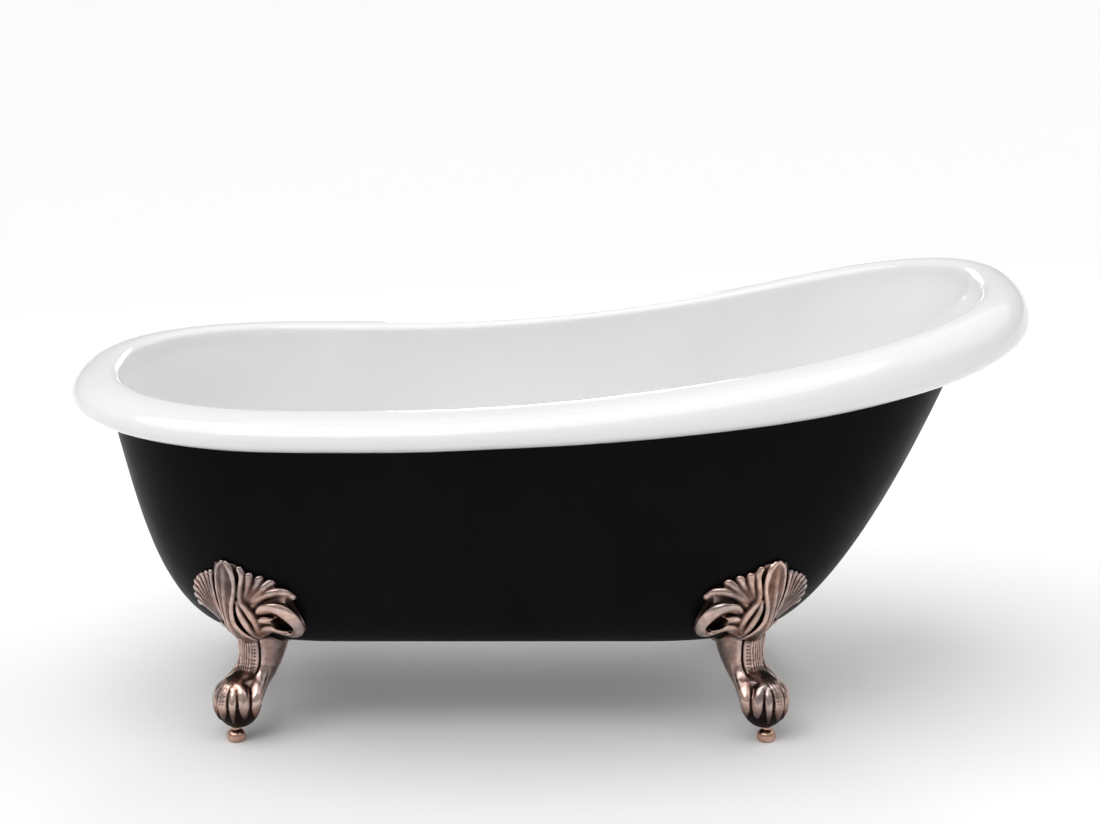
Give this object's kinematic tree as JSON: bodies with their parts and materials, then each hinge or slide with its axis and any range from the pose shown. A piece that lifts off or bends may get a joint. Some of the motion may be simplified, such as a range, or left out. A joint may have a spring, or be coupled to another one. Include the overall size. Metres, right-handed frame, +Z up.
{
  "type": "clawfoot bathtub",
  "caption": "Single-ended slipper bath with a rolled rim, a double skin and four claw-and-ball feet on levelling screws, with a click plug and an overflow.",
  "frame": {"origin": "on the floor, under the middle of the rim's length and width", "axes": "+Z up, +X towards the high back-rest end, the overflow is on the -Y side"},
  "size_m": [1.7001, 0.7502, 0.7898],
  "materials": {
    "white_acrylic": "gloss white sanitary acrylic",
    "black_acrylic": "satin black acrylic",
    "adhesive": "cured polyurethane adhesive",
    "wood": "bare plywood and softwood",
    "antique_copper": "cast alloy with an antique copper finish, dark in the recesses",
    "bright_copper": "polished copper plate",
    "zinc_steel": "zinc plated steel",
    "chrome": "polished chrome plate",
    "rubber": "black rubber",
    "white_plastic": "moulded white polypropylene",
    "grey_plastic": "grey flexible hose",
    "brass": "turned brass"
  },
  "bodies": {
    "bath": {"bath_liner": "white_acrylic", "outer_shell": "black_acrylic", "seam_bond": "adhesive", "base_board": "wood", "floor_bearer_low": "wood", "floor_bearer_middle": "wood", "floor_bearer_high": "wood", "claw_foot_front_low": "antique_copper", "claw_foot_front_high": "antique_copper", "claw_foot_rear_low": "antique_copper", "claw_foot_rear_high": "antique_copper", "foot_plate_front_low": "zinc_steel", "foot_plate_front_high": "zinc_steel", "foot_plate_rear_low": "zinc_steel", "foot_plate_rear_high": "zinc_steel", "foot_bolts": "zinc_steel", "foot_washers": "zinc_steel", "foot_nuts": "zinc_steel", "hose_clips": "zinc_steel", "waste_body": "chrome", "overflow_cover": "chrome", "overflow_screw": "chrome", "waste_flange_seal": "rubber", "waste_under_seal": "rubber", "overflow_seal": "rubber", "overflow_banjo": "white_plastic", "waste_backnut": "white_plastic", "overflow_elbow": "white_plastic", "overflow_hose": "grey_plastic", "plug_cartridge": "brass"},
    "screw_front_low": {"levelling_screw_front_low": "bright_copper"},
    "screw_front_high": {"levelling_screw_front_high": "bright_copper"},
    "screw_rear_low": {"levelling_screw_rear_low": "bright_copper"},
    "screw_rear_high": {"levelling_screw_rear_high": "bright_copper"},
    "plug": {"waste_plug": "chrome", "plug_seal": "rubber"}
  },
  "joints": [
    {"name": "level_front_low", "type": "slide", "parent": "bath", "child": "screw_front_low", "axis": [0, 0, -1], "range_m": [0, 0.015]},
    {"name": "level_front_high", "type": "slide", "parent": "bath", "child": "screw_front_high", "axis": [0, 0, -1], "range_m": [0, 0.015]},
    {"name": "level_rear_low", "type": "slide", "parent": "bath", "child": "screw_rear_low", "axis": [0, 0, -1], "range_m": [0, 0.015]},
    {"name": "level_rear_high", "type": "slide", "parent": "bath", "child": "screw_rear_high", "axis": [0, 0, -1], "range_m": [0, 0.015]},
    {"name": "plug_lift", "type": "slide", "parent": "bath", "child": "plug", "axis": [0, 0, 1], "range_m": [0, 0.009]}
  ]
}
